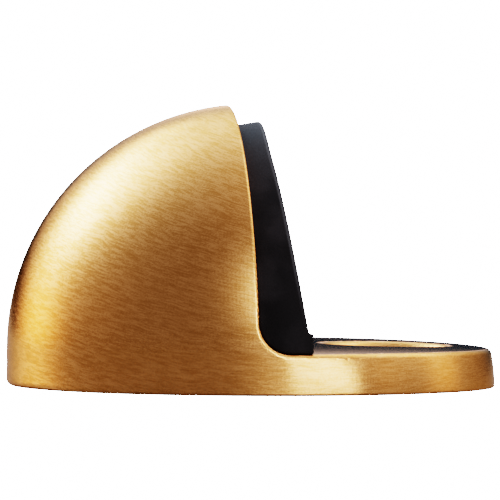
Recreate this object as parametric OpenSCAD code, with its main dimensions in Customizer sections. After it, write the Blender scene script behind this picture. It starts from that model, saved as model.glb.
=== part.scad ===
// Half-moon floor door stop: a cast brass dome and fixing plate in one piece, with a
// rubber buffer on its flat face. The buffer's steel backing plate sits in a pocket in
// the face, and two studs draw it in from the hollow underside.
// The origin is the centre of the round base, on the floor. +X points from the dome
// towards the door, and +Z points up. All sizes are in millimetres.

/* [Casting] */
// Diameter of the round base and of the dome
base_d = 45; // [42:0.5:60]
// Height of the straight skirt that carries the half-round dome
skirt_h = 3.5; // [2:0.1:6]
// Wall of the dome and skirt round the hollow underside
wall_t = 3; // [2:0.1:3.5]
// Thickness of the fixing plate in front of the dome
plate_t = 3.7; // [3.3:0.1:5]
// Bevel round the bottom edge
foot_bevel = 0.3; // [0.1:0.1:0.8]

/* [Face] */
// How far the flat face lies behind the centre of the base, at floor level
face_setback = 1.5; // [0.5:0.1:3]
// Angle at which the face leans back
face_lean = 1.5; // [0:0.5:4]
// Thickness of the wall between the face and the hollow
face_wall_t = 4; // [3:0.1:5]
// Radius of the inside corner between the face and the plate
corner_r = 2.5; // [1:0.1:4]

/* [Rubber buffer] */
// How far the buffer stays inside the skirt at each side
buffer_side_inset = 0.5; // [0.3:0.1:2]
// How far the buffer's top stays below the top of the dome
buffer_top_inset = 1.8; // [1:0.1:4]
// Thickness of the buffer at its top, in front of the face
buffer_top_t = 2.4; // [1.5:0.1:4]
// Thickness of the buffer at its foot, in front of the face
buffer_foot_t = 4.6; // [3.5:0.1:6]
// Angle at which the buffer's edge flares outwards to its front
buffer_flare = 10; // [0:1:15]
// Height of the small toe along the buffer's foot
toe_h = 1.6; // [0.8:0.1:3]
// How far the toe stands in front of the buffer
toe_out = 0.3; // [0.1:0.1:1]

/* [Backing plate] */
// Thickness of the steel backing plate, and depth of its pocket
backing_t = 1.5; // [1.2:0.1:2]
// How far the backing plate stays inside the buffer's outline
backing_margin = 4; // [3:0.1:6]
// Height of the backing plate's lower edge above the inside corner
backing_foot_gap = 0.8; // [0.4:0.1:2]
// Clearance round the backing plate in its pocket
backing_gap = 0.1; // [0.05:0.05:0.3]

/* [Studs and nuts] */
// Distance between the two studs
stud_spacing = 16; // [12:0.5:18]
// Height of the studs above the backing plate's lower edge
stud_rise = 4; // [3:0.1:5]
// Diameter of a stud
stud_d = 3; // [2.5:0.5:4]
// Diameter of a stud's head, pressed into the backing plate
stud_head_d = 4.5; // [4.3:0.1:5.4]
// Thickness of a stud's head
stud_head_t = 0.8; // [0.5:0.1:1.1]
// Length of a stud past its nut
stud_tail = 1; // [0.5:0.1:2]
// Clearance round a stud in the casting
stud_hole_gap = 0.2; // [0.1:0.05:0.4]
// Clearance round a stud in its backing plate, washers and nut
stud_gap = 0.05; // [0.02:0.01:0.1]
// Diameter of a flat washer
washer_d = 7; // [6:0.1:8]
// Thickness of a flat washer
washer_t = 0.5; // [0.3:0.1:1]
// Diameter of a split lock washer
lock_washer_d = 6.2; // [5.6:0.1:7]
// Thickness of a split lock washer
lock_washer_t = 0.8; // [0.5:0.1:1]
// Width of the split in a lock washer
lock_washer_split = 0.8; // [0.4:0.1:1.2]
// Width of a nut across its flats
nut_af = 5.5; // [5.2:0.1:7]
// Height of a nut
nut_t = 2.4; // [2:0.1:3]

/* [Fixing hole] */
// Diameter of the hole for the floor screw
screw_hole_d = 5.6; // [5:0.1:7]
// Diameter of the countersink for the screw's head
countersink_d = 11.6; // [9:0.1:12]
// Angle of the countersink
countersink_angle = 90; // [90:1:100]
// Metal left between the countersink and the edge of the plate
screw_edge = 4.1; // [2:0.1:6]

/* [Hidden] */
$fn = 96;

BRASS = "#c6923f";
RUBBER = "#1b1b1e";
STEEL = "#b4b7bb";

over = 1;                  // how far a cutter runs past the solid
corner_steps = 12;         // flats along the inside corner
base_r = base_d / 2;
total_h = skirt_h + base_r;

// The face seen from the side: x on the face at a height
function face_x(z) = -face_setback - z * tan(face_lean);

// Centre of the inside corner's arc, and its points from the plate up to the face
corner_z = plate_t + corner_r;
corner_x = face_x(corner_z) + corner_r / cos(face_lean);
corner_sweep = 90 - face_lean;
corner_points = [
    for (i = [0 : corner_steps])
        let (a = 270 - corner_sweep * i / corner_steps)
            [corner_x + corner_r * cos(a), corner_z + corner_r * sin(a)]
];

// The buffer's half-round outline: its radius and the height of its centre
buffer_r = base_r - buffer_side_inset;
buffer_axis_z = skirt_h + buffer_side_inset - buffer_top_inset;
buffer_top_z = total_h - buffer_top_inset;
foot_x = face_x(plate_t) + buffer_foot_t;
top_x = face_x(buffer_top_z) + buffer_top_t;
buffer_slope = (top_x - foot_x) / (buffer_top_z - plate_t);
function buffer_front_x(z) = foot_x + (z - plate_t) * buffer_slope;

backing_r = buffer_r - backing_margin;
backing_foot_z = corner_z + backing_foot_gap;
stud_z = backing_foot_z + stud_rise;
stud_hole_d = stud_d + 2 * stud_hole_gap;
close_hole_d = stud_d + 2 * stud_gap;
washer_x = face_wall_t;
lock_washer_x = washer_x + washer_t;
nut_x = lock_washer_x + lock_washer_t;
stud_length = nut_x + nut_t + stud_tail;
nut_corner_d = nut_af / cos(30);
nut_bevel = (nut_corner_d - nut_af) / 2;

screw_x = base_r - screw_edge - countersink_d / 2;
countersink_depth = (countersink_d - screw_hole_d) / 2 / tan(countersink_angle / 2);

// Half outline of the dome on its skirt, in x and z
module dome_outline(r) {
    intersection() {
        translate([0, skirt_h]) circle(r = r);
        translate([0, skirt_h]) square(r);
    }
    square([r, skirt_h]);
}

// Outer shape of the whole casting before its front is cut away
module dome_blank() {
    rotate_extrude() difference() {
        dome_outline(base_r);
        polygon([
            [base_r - foot_bevel, 0],
            [base_r + over, -over],
            [base_r + over, foot_bevel + over],
            [base_r, foot_bevel]
        ]);
    }
}

// Extrudes an outline drawn in x and z, from side to side
module across() {
    rotate([90, 0, 0]) linear_extrude(height = base_d + 2 * over, center = true) children();
}

// What is kept below the plate's top and behind the face, seen from the side
module side_outline() {
    polygon(concat(
        [[-base_r - over, -over], [base_r + over, -over], [base_r + over, plate_t]],
        corner_points,
        [[face_x(total_h + over), total_h + over], [-base_r - over, total_h + over]]
    ));
}

// Places children on the face, with x out of it and z up along it
module on_face() {
    translate([-face_setback, 0, 0]) rotate([0, -face_lean, 0]) children();
}

// A disc on the face's normal, from depth to depth + t behind the face
module behind_face(y, z, depth, t, d) {
    translate([-depth - t, y, z]) rotate([0, 90, 0]) cylinder(d = d, h = t);
}

// The half-round plate with straight lower edge that fills the pocket
module backing_blank(gap, t) {
    rotate([90, 0, 90]) linear_extrude(height = t) intersection() {
        translate([0, buffer_axis_z]) circle(r = backing_r + gap);
        translate([-backing_r - over, backing_foot_z - gap])
            square([2 * (backing_r + over), backing_r + over]);
    }
}

// Hollow below the dome, behind the wall that carries the buffer
module hollow() {
    intersection() {
        union() {
            rotate_extrude() dome_outline(base_r - wall_t);
            translate([0, 0, -over]) cylinder(r = base_r - wall_t, h = over + skirt_h / 2);
        }
        on_face() translate([-face_wall_t - base_d, -base_r, -base_r])
            cube([base_d, base_d, 2 * total_h]);
    }
}

module fixing_hole() {
    translate([screw_x, 0, -over]) cylinder(d = screw_hole_d, h = plate_t + 2 * over);
    translate([screw_x, 0, plate_t - countersink_depth])
        cylinder(d1 = screw_hole_d, d2 = countersink_d, h = countersink_depth);
    translate([screw_x, 0, plate_t]) cylinder(d = countersink_d, h = over);
}

module dome_casting() {
    color(BRASS) difference() {
        intersection() {
            dome_blank();
            across() side_outline();
        }
        hollow();
        on_face() {
            translate([-backing_t, 0, 0]) backing_blank(backing_gap, backing_t + over);
            for (y = [-stud_spacing, stud_spacing] / 2)
                behind_face(y, stud_z, 0, face_wall_t + over, stud_hole_d);
        }
        fixing_hole();
    }
}

// The buffer seen from the side: on the face, round the corner, along the plate to its
// toe, and up its sloping front
module buffer_side() {
    top = total_h + over;
    toe_z = plate_t + toe_h;
    polygon(concat(
        [
            [buffer_front_x(top), top],
            [buffer_front_x(toe_z), toe_z],
            [foot_x + toe_out, toe_z],
            [foot_x + toe_out, plate_t]
        ],
        corner_points,
        [[face_x(top), top]]
    ));
}

// The buffer's half-round outline with straight sides below its centre, drawn with its
// height along -x
module buffer_outline() {
    circle(r = buffer_r);
    translate([0, -buffer_r]) square(2 * buffer_r);
}

module rubber_buffer() {
    color(RUBBER) intersection() {
        across() buffer_side();
        translate([top_x, 0, buffer_axis_z])
            rotate([0, 90 - buffer_flare, 0])
                linear_extrude(height = base_d, center = true)
                    buffer_outline();
    }
}

module backing_plate() {
    color(STEEL) on_face() difference() {
        translate([-backing_t, 0, 0]) backing_blank(0, backing_t);
        for (y = [-stud_spacing, stud_spacing] / 2) {
            behind_face(y, stud_z, -over, backing_t + 2 * over, close_hole_d);
            behind_face(y, stud_z, -over, stud_head_t + over, stud_head_d + 2 * stud_gap);
        }
    }
}

// side is -1 for the left piece and 1 for the right one, seen from the door
module stud(side) {
    y = side * stud_spacing / 2;
    color(STEEL) on_face() {
        behind_face(y, stud_z, 0, stud_head_t, stud_head_d);
        behind_face(y, stud_z, 0, stud_length, stud_d);
    }
}

module washer(side) {
    y = side * stud_spacing / 2;
    color(STEEL) on_face() difference() {
        behind_face(y, stud_z, washer_x, washer_t, washer_d);
        behind_face(y, stud_z, washer_x - over, washer_t + 2 * over, stud_hole_d);
    }
}

module lock_washer(side) {
    y = side * stud_spacing / 2;
    color(STEEL) on_face() difference() {
        behind_face(y, stud_z, lock_washer_x, lock_washer_t, lock_washer_d);
        behind_face(y, stud_z, lock_washer_x - over, lock_washer_t + 2 * over, close_hole_d);
        translate([-lock_washer_x - lock_washer_t - over, y - lock_washer_split / 2, stud_z])
            cube([lock_washer_t + 2 * over, lock_washer_split, lock_washer_d]);
    }
}

// A hexagon with both ends bevelled at its corners
module nut(side) {
    y = side * stud_spacing / 2;
    r = nut_corner_d / 2;
    color(STEEL) on_face() translate([-nut_x - nut_t, y, stud_z]) rotate([0, 90, 0]) difference() {
        intersection() {
            cylinder(d = nut_corner_d, h = nut_t, $fn = 6);
            rotate_extrude() polygon([
                [0, 0],
                [nut_af / 2, 0],
                [r, nut_bevel],
                [r, nut_t - nut_bevel],
                [nut_af / 2, nut_t],
                [0, nut_t]
            ]);
        }
        translate([0, 0, -over]) cylinder(d = close_hole_d, h = nut_t + 2 * over);
    }
}

module left_stud() {
    stud(-1);
}

module right_stud() {
    stud(1);
}

module left_washer() {
    washer(-1);
}

module right_washer() {
    washer(1);
}

module left_lock_washer() {
    lock_washer(-1);
}

module right_lock_washer() {
    lock_washer(1);
}

module left_nut() {
    nut(-1);
}

module right_nut() {
    nut(1);
}

dome_casting();
rubber_buffer();
backing_plate();
left_stud();
right_stud();
left_washer();
right_washer();
left_lock_washer();
right_lock_washer();
left_nut();
right_nut();
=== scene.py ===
import math
import bmesh
import bpy
from mathutils import Matrix, Vector


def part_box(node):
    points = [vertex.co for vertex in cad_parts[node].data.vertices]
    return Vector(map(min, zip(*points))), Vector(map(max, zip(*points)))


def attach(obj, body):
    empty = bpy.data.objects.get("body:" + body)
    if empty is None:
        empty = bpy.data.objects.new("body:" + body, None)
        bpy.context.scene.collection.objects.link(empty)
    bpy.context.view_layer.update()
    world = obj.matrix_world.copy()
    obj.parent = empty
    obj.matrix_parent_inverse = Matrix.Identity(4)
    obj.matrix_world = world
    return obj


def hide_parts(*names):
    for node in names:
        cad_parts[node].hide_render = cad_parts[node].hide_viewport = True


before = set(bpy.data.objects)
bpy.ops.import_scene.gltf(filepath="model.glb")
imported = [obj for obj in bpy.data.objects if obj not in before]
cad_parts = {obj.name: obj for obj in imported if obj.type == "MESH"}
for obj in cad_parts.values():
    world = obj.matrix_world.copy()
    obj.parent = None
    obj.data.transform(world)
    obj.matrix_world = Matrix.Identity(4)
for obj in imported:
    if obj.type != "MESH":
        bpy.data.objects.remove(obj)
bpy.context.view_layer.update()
mm = 0.001
print("frame loaded:", len(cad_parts), "solids")


# A rule is a value that nodes work out at each point, written as an ordinary sum
class Rule:
    def __init__(self, socket):
        self.socket = socket

    def __add__(self, other):
        return mathNode("ADD", self, other)

    def __sub__(self, other):
        return mathNode("SUBTRACT", self, other)

    def __rsub__(self, other):
        return mathNode("SUBTRACT", other, self)

    def __mul__(self, other):
        return mathNode("MULTIPLY", self, other)

    def __truediv__(self, other):
        return mathNode("DIVIDE", self, other)

    def __neg__(self):
        return mathNode("MULTIPLY", self, -1)

    __radd__ = __add__
    __rmul__ = __mul__


def fill(node, entries):  # gives a node's inputs, by name or number, a value or a link
    for key, value in dict(entries).items():
        if isinstance(value, Rule):
            value = value.socket
        if isinstance(value, bpy.types.NodeSocket):
            node.id_data.links.new(value, node.inputs[key])
        else:
            node.inputs[key].default_value = value


def wire(tree, kind, entries=(), **settings):  # a new node with its settings and inputs
    node = tree.nodes.new(kind)
    for setting, value in settings.items():
        setattr(node, setting, value)
    fill(node, entries)
    return node


def mathNode(kind, *values):
    tree = next(value.socket.id_data for value in values if isinstance(value, Rule))
    return Rule(wire(tree, "ShaderNodeMath", enumerate(values), operation=kind).outputs[0])


def vectorNode(kind, *values):
    tree = next(value.id_data for value in values if isinstance(value, bpy.types.NodeSocket))
    node = wire(tree, "ShaderNodeVectorMath", enumerate(values), operation=kind)
    return node.outputs["Value" if kind == "DOT_PRODUCT" else "Vector"]


def scaled(vector, share):
    node = wire(vector.id_data, "ShaderNodeVectorMath", {0: vector, "Scale": share}, operation="SCALE")
    return node.outputs["Vector"]


def joinAxes(tree, x, y, z):
    return wire(tree, "ShaderNodeCombineXYZ", enumerate((x, y, z))).outputs[0]


def splitAxes(vector):
    return [Rule(axis) for axis in wire(vector.id_data, "ShaderNodeSeparateXYZ", {0: vector}).outputs]


def larger(first, second):
    return mathNode("MAXIMUM", first, second)


def smaller(first, second):
    return mathNode("MINIMUM", first, second)


def unsigned(value):
    return mathNode("ABSOLUTE", value)


def apart(first, second):  # the length of a slope from its two legs
    return mathNode("SQRT", first * first + second * second)


def ease(low, high, value):  # 0 at low, 1 at high, smooth between
    entries = {0: value, 1: low, 2: high}
    node = wire(value.socket.id_data, "ShaderNodeMapRange", entries, interpolation_type="SMOOTHSTEP")
    return Rule(node.outputs[0])


# Distances are less than 0 inside a solid
def roundCut(first, second, radius):  # what lies in both, with the edge between them rounded
    inside = smaller(larger(first, second), -radius)
    return inside + apart(larger(first + radius, 0), larger(second + radius, 0))


def roundJoin(first, second, radius):  # what lies in either, with the inside corner filled to a radius
    outside = larger(smaller(first, second), radius)
    return outside - apart(larger(radius - first, 0), larger(radius - second, 0))


# Solids grown from a rule: a cloud gives a first skin, and its points settle onto the rule's surface
settling = {
    "cloudCells": 8,         # cells over which the cloud thins out
    "surface": 0.5,          # its density at the surface
    "slopeStep": 0.01,       # mm to either side of a point, to find which way its distance grows
    "leastSteepness": 0.01,  # keeps a move short where the distance hardly changes
    "rounds": 3,             # how often the points move
    "sharpTurn": 14,         # degrees between neighbouring normals past which an edge is split
    "splitRounds": 2,
    "finestSplit": 3,        # the shortest edge that is split goes this often into a cell
    "sliver": 10,            # and an edge that goes this often into that one is closed up
    "patchReach": 0.1,       # mm, how near to its own rule a patch of another finish lies
}
cells = {"broad": 0.36, "small": 0.16, "thread": 0.11}  # mm, how finely a solid is grown
angleSizes = ("Face lean", "Flare")  # in degrees; all other sizes are in mm


def openTree(name, inputs, sizes, output=("Geometry", "Geometry")):  # inputs and output: (name, kind)
    tree = bpy.data.node_groups.new(name, "GeometryNodeTree")
    for label, kind in [*inputs, *((label, "Float") for label in sizes)]:
        tree.interface.new_socket(label, in_out="INPUT", socket_type="NodeSocket" + kind)
    tree.interface.new_socket(output[0], in_out="OUTPUT", socket_type="NodeSocket" + output[1])
    given = {socket.name: socket for socket in tree.nodes.new("NodeGroupInput").outputs if socket.name}
    return tree, given, tree.nodes.new("NodeGroupOutput")


def distanceGroup(name, sizes, rule):
    tree, given, result = openTree(name, [("Place", "Vector")], sizes, ("Distance", "Float"))
    size = {label: Rule(given[label]) for label in sizes}
    fill(result, {0: rule(size, *splitAxes(given["Place"]))})
    return tree


def distanceAt(group, given, place):  # with the sizes that are given to the tree around it
    node = wire(place.id_data, "GeometryNodeGroup", {"Place": place}, node_tree=group)
    fill(node, {socket.name: given[socket.name] for socket in node.inputs if socket.name in given})
    return Rule(node.outputs[0])


def slopeAt(group, given, place):  # how fast the distance grows along each axis
    step = settling["slopeStep"] * mm
    slope = []
    for axis in range(3):
        shift = [step if i == axis else 0 for i in range(3)]
        ahead = distanceAt(group, given, vectorNode("ADD", place, shift))
        behind = distanceAt(group, given, vectorNode("SUBTRACT", place, shift))
        slope.append((ahead - behind) / (2 * step))
    return joinAxes(place.id_data, *slope)


def settle(group, given, geometry):  # moves each point along the slope onto the surface
    tree = geometry.id_data
    place = tree.nodes.new("GeometryNodeInputPosition").outputs[0]
    for settleRound in range(settling["rounds"]):
        slope = slopeAt(group, given, place)
        distance = distanceAt(group, given, place)
        steepness = larger(Rule(vectorNode("DOT_PRODUCT", slope, slope)), settling["leastSteepness"])
        entries = {"Geometry": geometry, "Offset": scaled(slope, -distance / steepness)}
        geometry = wire(tree, "GeometryNodeSetPosition", entries).outputs[0]
    return geometry


def growTree(name, group, sizes):  # the form, before its finish
    tree, given, result = openTree(name + "Form", [
        ("Geometry", "Geometry"), ("Box low", "Vector"), ("Box high", "Vector"), ("Cell", "Float")], sizes)
    place = tree.nodes.new("GeometryNodeInputPosition").outputs[0]
    low, high, cell = given["Box low"], given["Box high"], Rule(given["Cell"])
    counts = [extent / cell + 1 for extent in splitAxes(vectorNode("SUBTRACT", high, low))]
    density = settling["surface"] - distanceAt(group, given, place) / (cell * settling["cloudCells"])
    cloud = wire(tree, "GeometryNodeVolumeCube", {
        "Density": density, "Min": low, "Max": high,
        "Resolution X": counts[0], "Resolution Y": counts[1], "Resolution Z": counts[2]})
    skin = wire(tree, "GeometryNodeVolumeToMesh", {
        "Volume": cloud.outputs[0], "Threshold": settling["surface"]})
    fill(result, {0: settle(group, given, skin.outputs[0])})
    return tree


def finishTree(name, group, sizes, patches):  # patches: (material's name, its rule or None)
    inputs = [("Geometry", "Geometry"), *((label, "Material") for label, where in patches)]
    tree, given, result = openTree(name + "Finish", inputs, sizes)
    place = tree.nodes.new("GeometryNodeInputPosition").outputs[0]
    settled = settle(group, given, given["Geometry"])
    facing = {"Mesh": settled, "Custom Normal": slopeAt(group, given, place)}
    smooth = wire(tree, "GeometryNodeSetMeshNormal", facing, mode="FREE", domain="POINT").outputs[0]
    geometry = wire(tree, "GeometryNodeRealizeInstances", {0: smooth}).outputs[0]
    for label, where in patches:
        entries = {"Geometry": geometry, "Material": given[label]}
        if where:
            near = distanceAt(where, given, place)
            entries["Selection"] = mathNode("LESS_THAN", near, settling["patchReach"] * mm)
        geometry = wire(tree, "GeometryNodeSetMaterial", entries).outputs[0]
    fill(result, {0: geometry})
    return tree


def runTree(piece, tree, values):  # puts a piece through a tree and keeps the result as a plain mesh
    modifier = piece.modifiers.new(tree.name, "NODES")
    modifier.node_group = tree
    for item in tree.interface.items_tree:
        if item.name in values:
            modifier[item.identifier] = values[item.name]
    graph = bpy.context.evaluated_depsgraph_get()
    done = bpy.data.meshes.new_from_object(
        piece.evaluated_get(graph), preserve_all_data_layers=True, depsgraph=graph)
    piece.modifiers.remove(modifier)
    piece.data = done


def splitSharp(mesh, finest):  # smaller faces where the surface turns quickly
    form = bmesh.new()
    form.from_mesh(mesh)
    form.normal_update()
    turn = math.radians(settling["sharpTurn"])
    edges = []
    for edge in form.edges:
        first, second = (corner.normal for corner in edge.verts)
        if first.angle(second, 0) > turn and edge.calc_length() > finest:
            edges.append(edge)
    bmesh.ops.subdivide_edges(form, edges=edges, cuts=1)
    bmesh.ops.dissolve_degenerate(form, edges=form.edges, dist=finest / settling["sliver"])
    bmesh.ops.triangulate(form, faces=form.faces)
    form.to_mesh(mesh)
    form.free()


def solidKind(name, rule, sizes, patches):  # the trees that grow one kind of solid, and their values
    sizes = {label: math.radians(value) if label in angleSizes else value * mm
             for label, value in sizes.items()}
    group = distanceGroup(name + "Distance", sizes, rule)
    wheres = [(label, where and distanceGroup(name + label, sizes, where))
              for label, material, where in patches]
    values = {**sizes, **{label: material for label, material, where in patches}}
    return growTree(name, group, sizes), finishTree(name, group, sizes, wheres), values


def growSolid(kind, name, node, slot, cell, **changes):  # one solid of a kind, in place of a node
    growing, finishing, values = kind
    spare = 2 * cell * mm
    low, high = ([place + side * spare for place in corner]
                 for corner, side in zip(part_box(node), (-1, 1)))
    changes = {label: value * mm for label, value in changes.items()}
    values = {**values, **changes, "Box low": low, "Box high": high, "Cell": cell * mm}
    piece = bpy.data.objects.new(name, bpy.data.meshes.new(name))
    bpy.context.scene.collection.objects.link(piece)
    runTree(piece, growing, values)
    for splitRound in range(settling["splitRounds"]):
        splitSharp(piece.data, cell / settling["finestSplit"] * mm)
        runTree(piece, finishing, values)
    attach(piece, "root")
    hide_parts(node)
    print(" ", name, len(piece.data.polygons), "faces")


# What the finishes share
def newFinish(name, settings):  # a material, its tree and shader, and the place on the part in mm
    material = bpy.data.materials.new(name)
    material.use_nodes = True
    tree = material.node_tree
    shader = tree.nodes["Principled BSDF"]
    fill(shader, settings)
    place = scaled(tree.nodes.new("ShaderNodeTexCoord").outputs["Object"], 1 / mm)
    return material, tree, shader, place


def noiseAt(tree, place, scale, detail=1):
    node = wire(tree, "ShaderNodeTexNoise", {"Vector": place, "Scale": scale, "Detail": detail})
    return Rule(node.outputs["Fac"])


def tint(tree, amount, first, second):  # from one colour to another
    first, second = (end if isinstance(end, bpy.types.NodeSocket) else (*end, 1)
                     for end in (first, second))
    return wire(tree, "ShaderNodeMix", {0: amount, 6: first, 7: second}, data_type="RGBA").outputs[2]


def bumps(tree, height, depth):  # depth in mm
    entries = {"Height": height, "Distance": depth * mm, "Strength": 1}
    return wire(tree, "ShaderNodeBump", entries).outputs[0]


def grainyMetal(name, look):  # a fine grain in the colour, the gloss and the surface
    material, tree, shader, place = newFinish(name, {"Metallic": 1})
    grain = noiseAt(tree, place, 1 / look["grain"], look["grainDetail"])
    fill(shader, {
        "Base Color": tint(tree, ease(*look["patches"], grain), look["dark"], look["colour"]),
        "Roughness": (grain - 0.5) * look["roughnessRange"] + look["roughness"],
        "Normal": bumps(tree, grain, look["bump"])})
    return material


# The face and the top of the plate, which the casting makes and the buffer fits; mm
faceSizes = {
    "Face setback": 1.45,    # behind the middle of the dome, at the floor
    "Face lean": 1.5,        # degrees back from upright
    "Corner radius": 2.8,    # between face and plate
    "Plate thickness": 3.97,
    "Tip fall": 0.2,         # how much thinner the plate is at its tip
    "Crown": 0.12,           # and towards its rim all round
    "Tip reach": 22.5,
}


# Behind the leaning face or below the plate's top, with the inside corner between them filled
def frontRule(size, x, y, z):
    lean = size["Face lean"]
    depth = (x + size["Face setback"]) * mathNode("COSINE", lean) + z * mathNode("SINE", lean)
    reach = size["Tip reach"]
    ahead, out = ((place / reach) * (place / reach) for place in (x, apart(x, y)))
    fall = size["Tip fall"] * (ahead * ahead) + size["Crown"] * out * (out + 1)
    return roundJoin(depth, z + fall - size["Plate thickness"], size["Corner radius"]), depth


# The casting: half dome and fixing plate in one, of brushed brass outside and rough inside
brassLook = {
    "pale": (0.93, 0.454, 0.194),
    "deep": (0.69, 0.310, 0.102),
    "edgeTint": (1, 0.74, 0.55),  # colour of the reflection at a glancing angle
    "roughness": 0.21,
    "roughnessRange": 0.10,
    "anisotropy": 0.6,
    "brushPivot": 1,         # mm below the floor where the strokes at the face lie level
    "brushFan": 60,          # mm over which the strokes open out
    "brushBow": 0.011,       # how fast they steepen towards the back, per mm
    "wander": 0.22,          # mm that a stroke strays from its line
    "wanderScale": 0.35,     # how often it does, per mm
    "fine": (0.12, 1.2),     # mm, width and length of a stroke
    "wide": (0.3, 3),
    "fineShare": 0.65,
    "strokeDetail": 1.5,
    "speck": 0.14,           # mm
    "speckShare": 0.32,
    "deepToPale": (0.3, 0.7),  # strength of a stroke where it is deep and where it is pale
    "contrast": 1.25,
    "highContrast": 0.55,    # more towards the top of the dome
    "high": (7, 15),         # mm up, where that starts and is full
    "heelContrast": 0.7,     # and towards the back
    "heel": (12, 18),        # mm back, the same
    "topContrast": 0.6,      # on the plate's top, in place of the others
    "topRoughness": -0.1,
    "topFacing": (0.75, 0.95),  # how squarely the top faces up
    "topEnd": (0.2, 0.6),    # mm above the plate, where the top's finish fades out
    "bump": 0.003,           # mm
}
castLook = {
    "colour": (0.45, 0.27, 0.10),
    "dark": (0.25, 0.14, 0.05),
    "patches": (0.35, 0.65),  # strength of the grain where it is dark and where it is not
    "roughness": 0.55,
    "roughnessRange": 0.3,
    "grain": 0.5,            # mm
    "grainDetail": 4,
    "bump": 0.05,            # mm
}


def brushed(tree, look, size, places):  # strokes of one size, for each way the casting is brushed
    x, y, z, across, onTop = places
    width, length = look[size]
    alongDome = joinAxes(tree, x / length, y / length, across / width)
    overPlate = joinAxes(tree, x / width, y / length, z / length)
    dome, plate = (noiseAt(tree, place, 1, look["strokeDetail"]) for place in (alongDome, overPlate))
    return dome + (plate - dome) * onTop


def makeBrass():
    look = brassLook
    material, tree, shader, place = newFinish("satinBrass", {
        "Metallic": 1, "Anisotropic": look["anisotropy"], "Specular Tint": (*look["edgeTint"], 1)})
    x, y, z = splitAxes(place)

    # where the plate's top is brushed across, not along the dome's lines
    upwards = splitAxes(tree.nodes.new("ShaderNodeNewGeometry").outputs["Normal"])[2]
    low, high = (faceSizes["Plate thickness"] + end for end in look["topEnd"])
    onTop = ease(*look["topFacing"], upwards) * ease(-high, -low, -z)

    # strokes along lines that fan out from the face
    level = z + look["brushPivot"]
    opening = mathNode("EXPONENT", x / look["brushFan"])
    stray = (noiseAt(tree, place, look["wanderScale"]) - 0.5) * (2 * look["wander"])
    across = level * opening - x * x * (look["brushBow"] / 2) + stray
    fine, wide = (brushed(tree, look, size, (x, y, z, across, onTop)) for size in ("fine", "wide"))
    specks = noiseAt(tree, place, 1 / look["speck"])
    strokes = fine * look["fineShare"] + wide * (1 - look["fineShare"])
    strokes = strokes * (1 - look["speckShare"]) + specks * look["speckShare"]
    contrast = look["contrast"] + ease(*look["high"], z) * look["highContrast"]
    contrast = contrast + ease(*look["heel"], -x) * look["heelContrast"]
    strokes = (strokes - 0.5) * (contrast + (look["topContrast"] - contrast) * onTop) + 0.5

    # the tangent lies across the strokes
    climb = level / look["brushFan"] - x / opening * look["brushBow"]
    crossDome = scaled(joinAxes(tree, climb, 0, 1), 1 - onTop)
    roughness = onTop * look["topRoughness"] + look["roughness"]
    fill(shader, {
        "Base Color": tint(tree, ease(*look["deepToPale"], strokes), look["deep"], look["pale"]),
        "Roughness": (strokes - 0.5) * look["roughnessRange"] + roughness,
        "Normal": bumps(tree, strokes, look["bump"]),
        "Tangent": vectorNode("ADD", crossDome, joinAxes(tree, onTop, 0, 0))})
    return material


castingSizes = {  # mm
    **faceSizes,
    "Base radius": 22.5,
    "Skirt height": 3.5,     # upright below the dome
    "Foot edge": 0.22,
    "Heel edge": 0.6,        # the foot's edge at the back
    "Heel start": 16,        # how far back it starts to widen, and is full
    "Heel end": 21.5,
    "Face edge": 0.3,
    "Rim edge": 0.4,
    "Edge change": 4.3,      # height over which the rim's edge becomes the face's
    "Rim draft": 0.5,        # how far the plate's rim leans in
    "Draft reach": 8,        # ahead of the middle, where that is full
    "Wall": 3,
    "Face wall": 4.05,
    "Hollow corner": 1,
    "Pocket depth": 1.55,
    "Pocket radius": 18.1,
    "Pocket foot": 6.9,
    "Buffer axis": 2.2,
    "Stud spacing": 16,
    "Stud height": 11,
    "Stud hole radius": 1.7,
    "Stud hole overrun": 2,
    "Screw place": 12.6,
    "Screw hole radius": 2.8,
    "Screw land": 0.7,       # upright wall below the countersink
    "Screw hole overrun": 1,
    "Lip": 0.25,             # rounding where a hollow or a hole breaks through
}
slope45 = math.sqrt(0.5)     # how fast the distance to a 45-degree slope grows


def hollowRule(size, x, y, z):
    depth = frontRule(size, x, y, z)[1]
    inner = apart(apart(x, y), larger(z - size["Skirt height"], 0)) - size["Base radius"] + size["Wall"]
    return roundCut(inner, depth + size["Face wall"], size["Hollow corner"])


def screwRule(size, x, y, z):
    radius = apart(x - size["Screw place"], y) - size["Screw hole radius"]
    cone = (radius - z + size["Screw land"]) * slope45
    return larger(smaller(radius, cone), z - size["Plate thickness"] - size["Screw hole overrun"])


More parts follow.
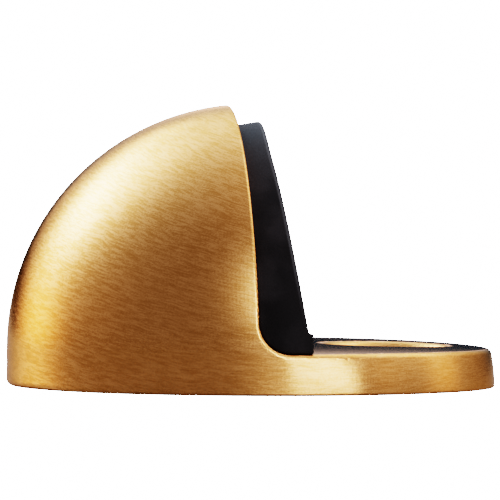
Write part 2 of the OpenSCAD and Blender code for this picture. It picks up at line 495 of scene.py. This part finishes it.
def castingRule(size, x, y, z):
    # the dome with its edges, cut by the face and the plate's top
    front, depth = frontRule(size, x, y, z)
    rise = larger(z / size["Plate thickness"], 0)
    draft = size["Rim draft"] * ease(0, size["Draft reach"], x) * (rise * rise)
    dome = apart(apart(x, y), larger(z - size["Skirt height"], 0)) - size["Base radius"] + draft
    heel = ease(size["Heel start"], size["Heel end"], -x)
    blank = roundCut(dome, -z, size["Foot edge"] + (size["Heel edge"] - size["Foot edge"]) * heel)
    plateTop = size["Plate thickness"]
    change = ease(plateTop, plateTop + size["Edge change"], z)
    body = roundCut(blank, front, size["Rim edge"] + (size["Face edge"] - size["Rim edge"]) * change)

    # the hollow, the buffer's pocket, the stud holes and the screw hole
    lean = size["Face lean"]
    along = z * mathNode("COSINE", lean) - (x + size["Face setback"]) * mathNode("SINE", lean)
    pocket = apart(y, along - size["Buffer axis"]) - size["Pocket radius"]
    pocket = larger(larger(pocket, size["Pocket foot"] - along), -(depth + size["Pocket depth"]))
    side = unsigned(y) - size["Stud spacing"] / 2
    studHole = apart(side, along - size["Stud height"]) - size["Stud hole radius"]
    studHole = larger(studHole, -(depth + size["Face wall"] + size["Stud hole overrun"]))
    for cut in (hollowRule(size, x, y, z), pocket, studHole, screwRule(size, x, y, z)):
        body = roundCut(body, -cut, size["Lip"])
    return body


castingKind = solidKind("casting", castingRule, castingSizes, [
    ("Satin", makeBrass(), None), ("Cast", grainyMetal("castBrass", castLook), hollowRule)])
growSolid(castingKind, "domeCasting", "dome_casting", "satin_brass", cells["broad"])
print("casting made")


# The rubber buffer, which fits the face and stands on the plate
rubberLook = {
    "colour": (0.011, 0.0095, 0.0108),
    "worn": (0.033, 0.028, 0.030),
    "wornPatches": (0.35, 0.7),
    "wornFront": 0.35,       # how much more it is worn towards the front
    "wornReach": (0.3, 3.5),  # mm behind the front, where that is full and where it ends
    # a pale line along the rounded front edge: a painted highlight, where light catches that edge
    "paintedHighlightColour": (0.085, 0.078, 0.082),
    "paintedHighlightPlace": 0.24,       # mm behind the front, the middle of the painted highlight
    "paintedHighlightWidth": 0.2,        # mm
    "paintedHighlightDepth": 0.5,        # mm inside the side
    "paintedHighlightRise": (5, 14),     # mm up, where the painted highlight starts and is full
    "gloss": 0.13,
    "sheenTint": (1, 0.82, 0.72),
    "roughness": 0.6,
    "roughnessRange": 0.2,
    "grain": 0.25,           # mm
    "haze": 5,               # mm
    "detail": 3,
    "bump": 0.01,            # mm
}
bufferSizes = {  # mm
    **faceSizes,
    "Seat gap": 0.02,
    "Outline radius": 22,
    "Outline centre": 2,
    "Flare": 10,             # degrees that its outer wall opens towards the front
    "Top": 23.95,
    "Top front": 0.38,       # ahead of the dome's middle
    "Foot front": 3.2,
    "Bow": 0.17,             # how hollow the front is
    "Toe height": 1.6,
    "Toe out": 0.12,
    "Toe corner": 0.25,
    "Brow out": 0.3,
    "Brow height": 3,
    "Front edge": 0.2,
    "Back edge": 0.2,
}


def bufferFront(size, x, z):  # how far a place lies ahead of the sloping front, and the slope
    rise = size["Top"] - size["Plate thickness"]
    slope = (size["Foot front"] - size["Top front"]) / rise
    part = (z - size["Plate thickness"]) / rise
    hollow = size["Bow"] * 4 * part * (1 - part)
    brow = larger((z - size["Top"]) / size["Brow height"] + 1, 0)
    return x - size["Foot front"] + part * rise * slope + hollow - size["Brow out"] * brow * brow, slope


def bufferRule(size, x, y, z):
    front = frontRule(size, x, y, z)[0]
    up = ((z - size["Outline centre"]) * mathNode("COSINE", size["Flare"])
          - (x - size["Top front"]) * mathNode("SINE", size["Flare"]))
    outline = apart(y, larger(up, 0)) - size["Outline radius"]
    ahead, slope = bufferFront(size, x, z)
    nose = ahead / mathNode("SQRT", slope * slope + 1)
    overToe = z - size["Plate thickness"] - size["Toe height"]
    toe = larger(x - size["Foot front"] - size["Toe out"], overToe)
    body = roundCut(outline, roundJoin(nose, toe, size["Toe corner"]), size["Front edge"])
    return roundCut(body, size["Seat gap"] - front, size["Back edge"])


def makeRubber():
    look, size = rubberLook, bufferSizes
    material, tree, shader, place = newFinish("blackRubber", {
        "Metallic": 0, "Specular IOR Level": look["gloss"], "Specular Tint": (*look["sheenTint"], 1)})
    x, y, z = splitAxes(place)
    ahead = bufferFront(size, x, z)[0]
    outline = apart(y, larger(z - size["Outline centre"], 0)) - size["Outline radius"]
    # painted highlight: a pale line just behind the front edge, on the sides, fading in higher up
    paintedHighlight = ease(0, 1, 1 - unsigned(ahead + look["paintedHighlightPlace"]) / look["paintedHighlightWidth"])
    paintedHighlight = paintedHighlight * ease(-look["paintedHighlightDepth"], -look["paintedHighlightDepth"] / 2, outline) * ease(*look["paintedHighlightRise"], z)
    grain, haze = (noiseAt(tree, place, 1 / look[layer], look["detail"]) for layer in ("grain", "haze"))
    near, far = look["wornReach"]
    worn = ease(*look["wornPatches"], haze) + ease(-far, -near, ahead) * look["wornFront"]
    skin = tint(tree, worn, look["colour"], look["worn"])
    fill(shader, {
        "Base Color": tint(tree, paintedHighlight, skin, look["paintedHighlightColour"]),
        "Roughness": (haze - 0.5) * look["roughnessRange"] + look["roughness"],
        "Normal": bumps(tree, grain, look["bump"])})
    return material


bufferKind = solidKind("buffer", bufferRule, bufferSizes, [("Rubber", makeRubber(), None)])
growSolid(bufferKind, "rubberBuffer", "rubber_buffer", "black_rubber", cells["broad"])
print("buffer made")


# Studs, washers, lock washers and nuts, each kind grown on the left and on the right
zincLook = {
    "colour": (0.60, 0.62, 0.65),
    "dark": (0.42, 0.43, 0.45),
    "patches": (0.35, 0.65),
    "roughness": 0.33,
    "roughnessRange": 0.25,
    "grain": 0.4,            # mm
    "grainDetail": 4,
    "bump": 0.006,           # mm
}
stackSizes = {  # mm
    "Face setback": 1.5,     # of the face that every Start is counted back from
    "Face lean": faceSizes["Face lean"],
    "Stud height": castingSizes["Stud height"],
    "Side": castingSizes["Stud spacing"] / 2,
}
studSizes = {
    **stackSizes, "Radius": 1.5, "Length": 8.7, "Pitch": 0.5, "Thread depth": 0.27, "Thread start": 3.2,
    "Head radius": 2.25, "Head height": 0.8, "Edge": 0.15}
washerSizes = {
    **stackSizes, "Start": 4, "Height": 0.5, "Radius": 3.5, "Bore": 1.7, "Edge": 0.1}
lockWasherSizes = {
    **stackSizes, "Start": 4.5, "Height": 0.58, "Rise": 0.22, "Split": 0.8, "Radius": 3.1, "Bore": 1.55,
    "Edge": 0.08}
nutSizes = {
    **stackSizes, "Start": 5.3, "Height": 2.4, "Flat": 2.75, "Bore": 1.55, "Edge": 0.1}
threadShare = 0.7            # keeps the steps short on the steep sides of a thread


def behindFace(size, x, y, z):  # depth behind the face, then sideways and up from the stud's axis
    lean = size["Face lean"]
    out = x + size["Face setback"]
    depth = -(out * mathNode("COSINE", lean) + z * mathNode("SINE", lean))
    up = z * mathNode("COSINE", lean) - out * mathNode("SINE", lean) - size["Stud height"]
    return depth, y - size["Side"], up


def ringRule(size, depth, side, up):  # between two flat ends, round a bore
    half = size["Height"] / 2
    radius = apart(side, up)
    ends = unsigned(depth - size["Start"] - half) - half
    return ends, radius, size["Bore"] - radius


def washerRule(size, x, y, z):
    ends, radius, bore = ringRule(size, *behindFace(size, x, y, z))
    return roundCut(roundCut(radius - size["Radius"], ends, size["Edge"]), bore, size["Edge"])


def lockWasherRule(size, x, y, z):
    depth, side, up = behindFace(size, x, y, z)
    climb = mathNode("ARCTAN2", side, -up) / math.tau + 0.5
    ends, radius, bore = ringRule(size, depth - climb * size["Rise"], side, up)
    ring = roundCut(roundCut(radius - size["Radius"], ends, size["Edge"]), bore, size["Edge"])
    split = larger(unsigned(side) - size["Split"] / 2, -up)
    return roundCut(ring, -split, size["Edge"])


def nutRule(size, x, y, z):
    depth, side, up = behindFace(size, x, y, z)
    ends, radius, bore = ringRule(size, depth, side, up)
    slant = up * math.sin(math.radians(60))
    flats = unsigned(side)
    for turned in (side / 2 + slant, side / 2 - slant):
        flats = larger(flats, unsigned(turned))
    cone = (radius + ends - size["Flat"]) * slope45
    body = roundCut(roundCut(flats - size["Flat"], ends, size["Edge"]), cone, size["Edge"])
    return roundCut(body, bore, size["Edge"])


def studRule(size, x, y, z):
    depth, side, up = behindFace(size, x, y, z)
    radius = apart(side, up)
    turn = mathNode("FRACT", depth / size["Pitch"] - mathNode("ARCTAN2", side, up) / math.tau)
    start = size["Thread start"]
    groove = unsigned(turn - 0.5) * 2 * size["Thread depth"] * ease(start, start + size["Pitch"], depth)
    shaft = (radius - size["Radius"] + groove) * threadShare
    shaft = roundCut(shaft, depth - size["Length"], size["Thread depth"])
    half = size["Head height"] / 2
    head = roundCut(radius - size["Head radius"], unsigned(depth - half) - half, size["Edge"])
    return larger(roundJoin(shaft, head, size["Edge"]), -depth)


zinc = grainyMetal("zincPlatedSteel", zincLook)
fastenerKinds = {  # name: node, rule, sizes, cell
    "Stud": ("stud", studRule, studSizes, "thread"),
    "Washer": ("washer", washerRule, washerSizes, "small"),
    "LockWasher": ("lock_washer", lockWasherRule, lockWasherSizes, "small"),
    "Nut": ("nut", nutRule, nutSizes, "small"),
}
for label, (node, rule, sizes, cell) in fastenerKinds.items():
    kind = solidKind(node, rule, sizes, [("Zinc", zinc, None)])
    for side, sign in (("left", -1), ("right", 1)):
        place = sign * stackSizes["Side"]
        growSolid(kind, side + label, f"{side}_{node}", "zinc_steel", cells[cell], Side=place)
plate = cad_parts["backing_plate"]
plate.data.materials.clear()
plate.data.materials.append(zinc)
print("studs, washers and nuts made")


# Floor, light and camera
studio = {
    "floorSize": 60,         # m
    "floorColour": (0.21, 0.19, 0.16),  # as the part reflects it
    "floorRoughness": 0.35,
    "seenWhite": 14,         # brightness of the floor and the air as the camera sees them
    "air": 0.215,            # dim light from all round
    "darkest": 0.01,
    "fallOff": 0.7,          # leaves about half of a round lamp's light at its half-width
    # direction from the front (degrees, + to the right), height, half-width, brightness, warmth;
    # a fitting program gave the air, most lamps and three soft boxes, and some were changed since
    "lamps": {
        "key": (-136.8, 35.3, 14.7, 3.45, -0.05),
        "keyHeart": (-145.2, 31.1, 9.3, 2.6, -0.2),
        "keySpill": (-142.6, 42.3, 26.4, 1.2, -0.2),
        "lowKey": (-133.1, 14.6, 14, 0.48, 0.33),
        "low": (-128.1, 1.2, 13.2, 1.27, 0.55),
        "window": (12.6, 28.2, 13.6, 2.75, -0.1),
        "side": (95.9, 46.7, 29.3, 1.18, -0.01),
        "back": (172.8, 36.7, 20.4, 1.18, -0.2),
        "horizon": (174, 11, 4.5, 1.35, 0.1),
        "backEdge": (-167, 14, 7, 0.32, 0.1),
        "edgeLight": (128, 52, 15, 1.1, 0),
        "leftAir": (-97, 14, 20, 0.06, 0.5),
        "lowWindow": (10, 17, 8, 0.6, 0.05),
        "rightAir": (60, 10, 9, 0.2, 0.15),
        # these take light away
        "flag": (-171.7, 12.7, 35.4, -0.53, 0.02),
        "shade": (-145.1, 14.7, 12.1, -0.03, -0.3),
        "dusk": (176, 1, 5.5, -0.3, -0.1),
        "leftDusk": (-166, 2, 8, -0.13, -0.6),
    },
    # the same, with a half-width, a half-height and the width of the soft edge
    "softBoxes": {
        "strip": (29.4, 8.1, 15.5, 16.1, 6.4, 2.85, -0.11),
        "pane": (7, 27, 11, 13, 5, 0.35, -0.1),
        "end": (98.6, 17.5, 9.6, 21.5, 14.9, 0.35, 0.45),
        "keyBox": (-147.5, 33.3, 22.1, 6.1, 7.9, 1.6, -0.1),
    },
}


def towards(azimuth, height):  # degrees
    turn, rise = math.radians(azimuth), math.radians(height)
    return Vector((math.sin(turn) * math.cos(rise), -math.cos(turn) * math.cos(rise), math.sin(rise)))


def roundLamp(direction, aim, halfWidth):  # its share of light from each direction
    ahead = Rule(vectorNode("DOT_PRODUCT", direction, aim))
    narrowness = studio["fallOff"] / (1 - math.cos(math.radians(halfWidth)))
    return mathNode("EXPONENT", (ahead - 1) * narrowness)


def softBox(direction, aim, *sizes):
    wide, tall, soft = (math.radians(size) for size in sizes)
    right = Vector((-aim.y, aim.x, 0)).normalized()
    axes = (aim, right, right.cross(aim))
    ahead, aside, above = (Rule(vectorNode("DOT_PRODUCT", direction, axis)) for axis in axes)
    turn = unsigned(mathNode("ARCTAN2", aside, ahead))
    rise = unsigned(mathNode("ARCTAN2", above, apart(aside, ahead)))
    return ease(-soft / 2, soft / 2, wide - turn) * ease(-soft / 2, soft / 2, tall - rise)


def makeStudio():
    world = bpy.data.worlds.new("studio")
    bpy.context.scene.world = world
    world.use_nodes = True
    tree = world.node_tree
    tree.nodes.clear()
    direction = tree.nodes.new("ShaderNodeTexCoord").outputs["Generated"]
    light, warm = studio["air"], 0
    for group, shape in (("lamps", roundLamp), ("softBoxes", softBox)):
        for azimuth, height, *sizes, brightness, warmth in studio[group].values():
            share = shape(direction, towards(azimuth, height), *sizes) * brightness
            light, warm = share + light, share * warmth + warm
    light = larger(light, studio["darkest"])
    colour = joinAxes(tree, light + warm, light, light - warm)
    lit = wire(tree, "ShaderNodeBackground", {"Color": colour})
    seen = wire(tree, "ShaderNodeBackground", {"Color": (1, 1, 1, 1), "Strength": studio["seenWhite"]})
    path = tree.nodes.new("ShaderNodeLightPath").outputs["Is Camera Ray"]
    choice = wire(tree, "ShaderNodeMixShader", {0: path, 1: lit.outputs[0], 2: seen.outputs[0]})
    wire(tree, "ShaderNodeOutputWorld", {0: choice.outputs[0]})


def makeFloor():
    half = studio["floorSize"] / 2
    mesh = bpy.data.meshes.new("floor")
    corners = [(-half, -half, 0), (half, -half, 0), (half, half, 0), (-half, half, 0)]
    mesh.from_pydata(corners, [], [(0, 1, 2, 3)])
    floor = bpy.data.objects.new("floor", mesh)
    bpy.context.scene.collection.objects.link(floor)
    material = bpy.data.materials.new("paleFloor")
    material.use_nodes = True
    tree = material.node_tree
    path = Rule(tree.nodes.new("ShaderNodeLightPath").outputs["Is Camera Ray"])
    fill(tree.nodes["Principled BSDF"], {
        "Base Color": (*studio["floorColour"], 1), "Roughness": studio["floorRoughness"],
        "Emission Color": (1, 1, 1, 1), "Emission Strength": path * studio["seenWhite"]})
    mesh.materials.append(material)


# The angles, the lens and the aim come from a camera fit
viewpoint = {
    "distance": 0.9,         # m
    "azimuth": -6.241,       # degrees
    "height": 1.644,
    "roll": 0.296,
    "lens": 703.4,           # mm
    "sensor": 36,            # mm
    "aim": (-0.1121, 0, 12.52),  # mm
    "seen": (0.05, 100),     # m, the nearest and the farthest
}


def makeCamera():
    view = viewpoint
    camera = bpy.data.objects.new("camera", bpy.data.cameras.new("camera"))
    bpy.context.scene.collection.objects.link(camera)
    back = towards(view["azimuth"], view["height"])
    roll = Matrix.Rotation(math.radians(view["roll"]), 3, "Z")
    turn = (-back).to_track_quat("-Z", "Y").to_matrix() @ roll
    place = Vector(view["aim"]) * mm + back * view["distance"]
    camera.matrix_world = Matrix.Translation(place) @ turn.to_4x4()
    camera.data.lens = view["lens"]
    camera.data.sensor_width = view["sensor"]
    camera.data.clip_start, camera.data.clip_end = view["seen"]
    bpy.context.scene.camera = camera


makeStudio()
makeFloor()
makeCamera()
bpy.context.scene.view_settings.view_transform = "Filmic"
bpy.context.scene.view_settings.look = "Very High Contrast"
print("studio made")
